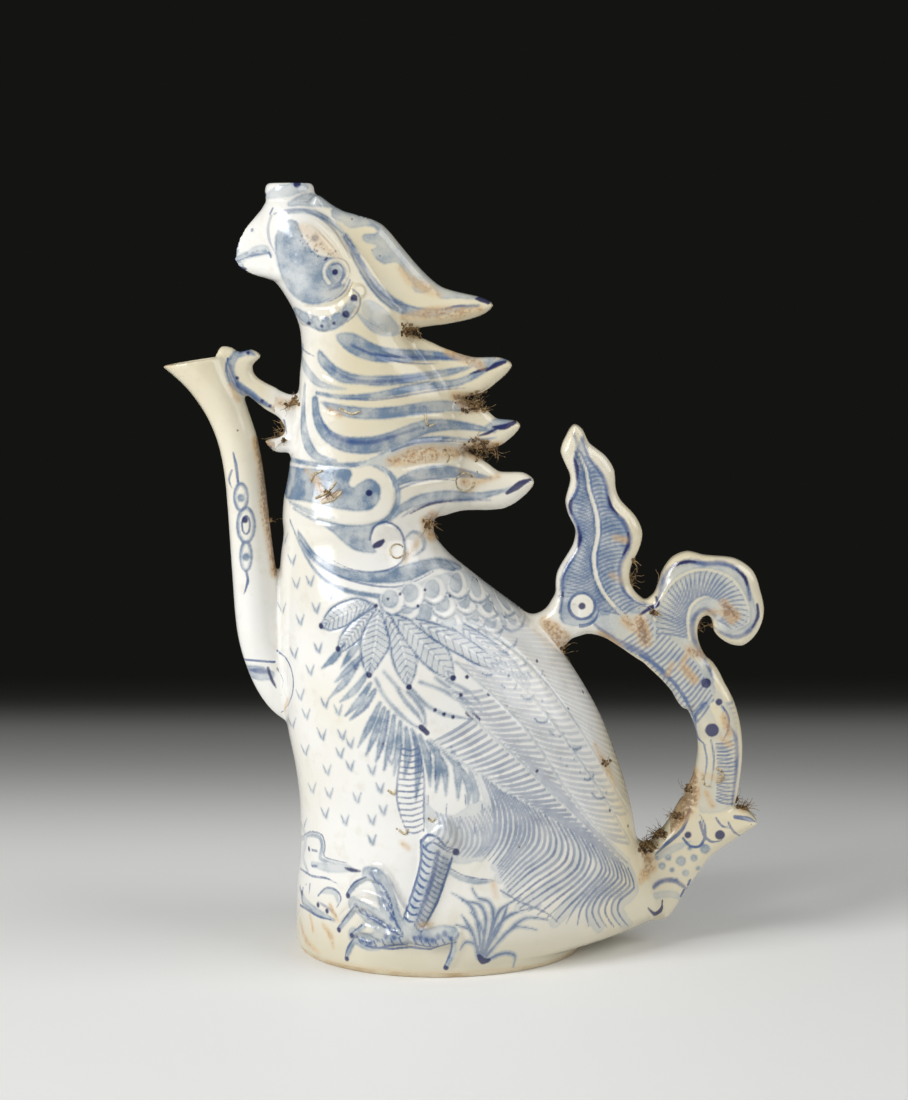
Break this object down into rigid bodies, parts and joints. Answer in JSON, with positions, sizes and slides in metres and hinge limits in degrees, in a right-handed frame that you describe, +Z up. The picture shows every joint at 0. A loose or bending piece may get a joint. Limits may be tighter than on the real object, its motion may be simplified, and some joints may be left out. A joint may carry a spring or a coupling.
{
  "type": "wine ewer",
  "caption": "Hollow porcelain wine ewer shaped as a standing phoenix: filler collar on the crown, tall spout in front, openwork tail handle behind.",
  "frame": {"origin": "centre of the foot's resting face, on the seam plane", "axes": "+Z up, the bird looks along -X with its spout in front and its tail handle towards +X, left flank towards -Y"},
  "size_m": [0.1979, 0.0896, 0.2533],
  "materials": {
    "ivory_glaze": "warm ivory clear glaze with cobalt painting",
    "plume_glaze": "clear glaze over pale cobalt wash and darker lines",
    "cobalt_glaze": "clear glaze over cobalt wash",
    "bare_clay": "unglazed stoneware clay"
  },
  "bodies": {
    "root": {"floor_slab": "bare_clay", "body_left_half": "ivory_glaze", "body_right_half": "ivory_glaze", "neck_left_half": "ivory_glaze", "neck_right_half": "ivory_glaze", "head_left_half": "ivory_glaze", "head_right_half": "ivory_glaze", "filler_collar": "ivory_glaze", "comb_crest": "plume_glaze", "nape_plume_upper": "plume_glaze", "nape_plume_middle": "plume_glaze", "nape_plume_lower": "plume_glaze", "spout_tube": "ivory_glaze", "spout_strut": "cobalt_glaze", "handle_root": "ivory_glaze", "tail_leaf": "cobalt_glaze", "tail_curl": "cobalt_glaze", "handle_bow": "ivory_glaze", "fishtail_bracket": "ivory_glaze", "left_leg": "cobalt_glaze", "right_leg": "cobalt_glaze"}
  },
  "joints": []
}
